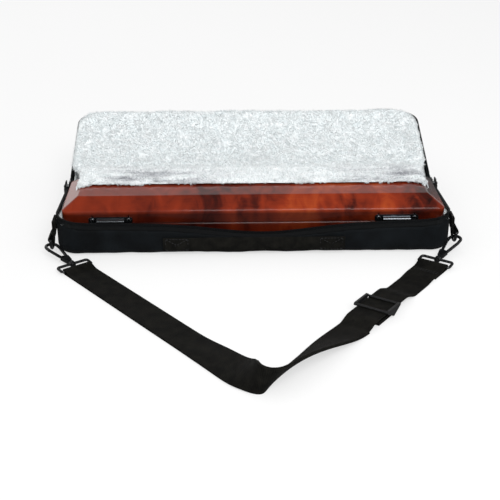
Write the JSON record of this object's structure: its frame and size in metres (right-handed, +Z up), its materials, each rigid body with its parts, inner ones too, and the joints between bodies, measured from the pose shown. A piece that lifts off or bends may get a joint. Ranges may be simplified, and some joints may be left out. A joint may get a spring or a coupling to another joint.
{
  "type": "flute case",
  "caption": "Lacquered wooden flute case with sliding locks, lying in an open padded zip cover with plush lining, end rings and a hooked, doubled shoulder strap.",
  "frame": {"origin": "centre of the cover's flat bottom, on the table", "axes": "+Z up, +X along the case to the right seen from the handle, -Y to the wall with the carrying handle, +Y to the fold of the cover's lid"},
  "size_m": [0.4315, 0.5257, 0.0775],
  "materials": {
    "nylon_shell": "woven nylon",
    "plush_lining": "deep white plush",
    "zip_tape": "woven polyester tape",
    "zip_teeth": "nylon coil",
    "webbing": "ribbed webbing",
    "black_metal": "glossy black",
    "black_plastic": "moulded, semi-gloss",
    "lacquered_wood": "flame figure under thick gloss lacquer",
    "velvet": "short velvet",
    "chrome_plate": "bright plated steel",
    "plated_hinge": "bright plated steel"
  },
  "bodies": {
    "cover": {"cover_base_shell": "nylon_shell", "cover_base_lining": "plush_lining", "base_zipper_tape": "zip_tape", "base_zipper_coil": "zip_teeth", "hinge_fabric": "nylon_shell", "front_handle": "webbing", "ring_tab_left": "webbing", "ring_tab_right": "webbing", "shoulder_strap": "webbing", "strap_loop_left": "black_metal", "strap_loop_right": "black_metal"},
    "cover_lid": {"cover_lid_shell": "nylon_shell", "cover_lid_lining": "plush_lining", "lid_zipper_tape": "zip_tape", "lid_zipper_coil": "zip_teeth"},
    "wood_case": {"wood_base": "lacquered_wood", "flute_insert": "velvet", "lower_hinge_leaf_left": "plated_hinge", "lower_hinge_leaf_right": "plated_hinge", "hinge_pin_left": "plated_hinge", "hinge_pin_right": "plated_hinge", "lower_hinge_screws": "plated_hinge", "lock_plate_left": "chrome_plate", "lock_plate_right": "chrome_plate", "lock_screws": "chrome_plate"},
    "wood_case_lid": {"wood_lid": "lacquered_wood", "lid_pad": "velvet", "upper_hinge_leaf_left": "plated_hinge", "upper_hinge_leaf_right": "plated_hinge", "upper_hinge_screws": "plated_hinge", "latch_keeper_left": "chrome_plate", "latch_keeper_right": "chrome_plate", "keeper_screws": "chrome_plate"},
    "adjuster": {"tri_glide": "black_plastic", "strap_tail": "webbing"},
    "slide_left": {"lock_slide_left": "chrome_plate"},
    "slider_left": {"zip_slider_left": "black_metal"},
    "pull_left": {"zip_pull_left": "black_metal"},
    "ring_left": {"d_ring_left": "black_metal"},
    "hook_left": {"snap_hook_left": "black_metal"},
    "gate_left": {"hook_gate_left": "black_metal"},
    "slide_right": {"lock_slide_right": "chrome_plate"},
    "slider_right": {"zip_slider_right": "black_metal"},
    "pull_right": {"zip_pull_right": "black_metal"},
    "ring_right": {"d_ring_right": "black_metal"},
    "hook_right": {"snap_hook_right": "black_metal"},
    "gate_right": {"hook_gate_right": "black_metal"}
  },
  "joints": [
    {"name": "cover_lid", "type": "hinge", "parent": "cover", "child": "cover_lid", "pos_m": [0, 0.06329, 0.035], "axis": [-1, 0, 0], "range_deg": [-156, 0]},
    {"name": "wood_case_lift", "type": "slide", "parent": "cover", "child": "wood_case", "axis": [0, 0, 1], "range_m": [0, 0.09]},
    {"name": "wood_lid", "type": "hinge", "parent": "wood_case", "child": "wood_case_lid", "pos_m": [0, 0.0425, 0.0315], "axis": [-1, 0, 0], "range_deg": [0, 95]},
    {"name": "lock_slide_left", "type": "slide", "parent": "wood_case", "child": "slide_left", "axis": [-1, 0, 0], "range_m": [0, 0.008]},
    {"name": "zip_slider_left", "type": "slide", "parent": "cover", "child": "slider_left", "axis": [0, 0.998, -0.063], "range_m": [-0.078, 0]},
    {"name": "zip_pull_left", "type": "hinge", "parent": "slider_left", "child": "pull_left", "pos_m": [-0.20624, 0.046, 0.03689], "axis": [0, 0.998, -0.063], "range_deg": [0, 80]},
    {"name": "d_ring_left", "type": "hinge", "parent": "cover", "child": "ring_left", "pos_m": [-0.209, -0.046, 0.0155], "axis": [0, 1, 0], "range_deg": [-4, 4]},
    {"name": "hook_swivel_left", "type": "hinge", "parent": "cover", "child": "hook_left", "pos_m": [-0.1837, -0.08948, 0.00405], "axis": [-0.5967, 0.7956, 0.105], "range_deg": [-6, 6]},
    {"name": "hook_gate_left", "type": "hinge", "parent": "hook_left", "child": "gate_left", "pos_m": [-0.19443, -0.0795, 0.00557], "axis": [-0.063, 0.084, -0.9945], "range_deg": [0, 20], "stiffness_Nm_per_rad": 0.02},
    {"name": "lock_slide_right", "type": "slide", "parent": "wood_case", "child": "slide_right", "axis": [1, 0, 0], "range_m": [0, 0.008]},
    {"name": "zip_slider_right", "type": "slide", "parent": "cover", "child": "slider_right", "axis": [0, 0.998, -0.063], "range_m": [-0.078, 0]},
    {"name": "zip_pull_right", "type": "hinge", "parent": "slider_right", "child": "pull_right", "pos_m": [0.20624, 0.046, 0.03689], "axis": [0, -0.998, 0.063], "range_deg": [0, 80]},
    {"name": "d_ring_right", "type": "hinge", "parent": "cover", "child": "ring_right", "pos_m": [0.209, -0.046, 0.0195], "axis": [0, 1, 0], "range_deg": [-4, 4]},
    {"name": "hook_swivel_right", "type": "hinge", "parent": "cover", "child": "hook_right", "pos_m": [0.18479, -0.08969, 0.00481], "axis": [0.5711, 0.8006, 0.1813], "range_deg": [-6, 6]},
    {"name": "hook_gate_right", "type": "hinge", "parent": "hook_right", "child": "gate_right", "pos_m": [0.19095, -0.07657, 0.00744], "axis": [0.1053, 0.1476, -0.9834], "range_deg": [0, 20], "stiffness_Nm_per_rad": 0.02},
    {"name": "adjuster_slide", "type": "slide", "parent": "cover", "child": "adjuster", "axis": [-0.5807, -0.8141, 0], "range_m": [-0.012, 0.012]}
  ]
}
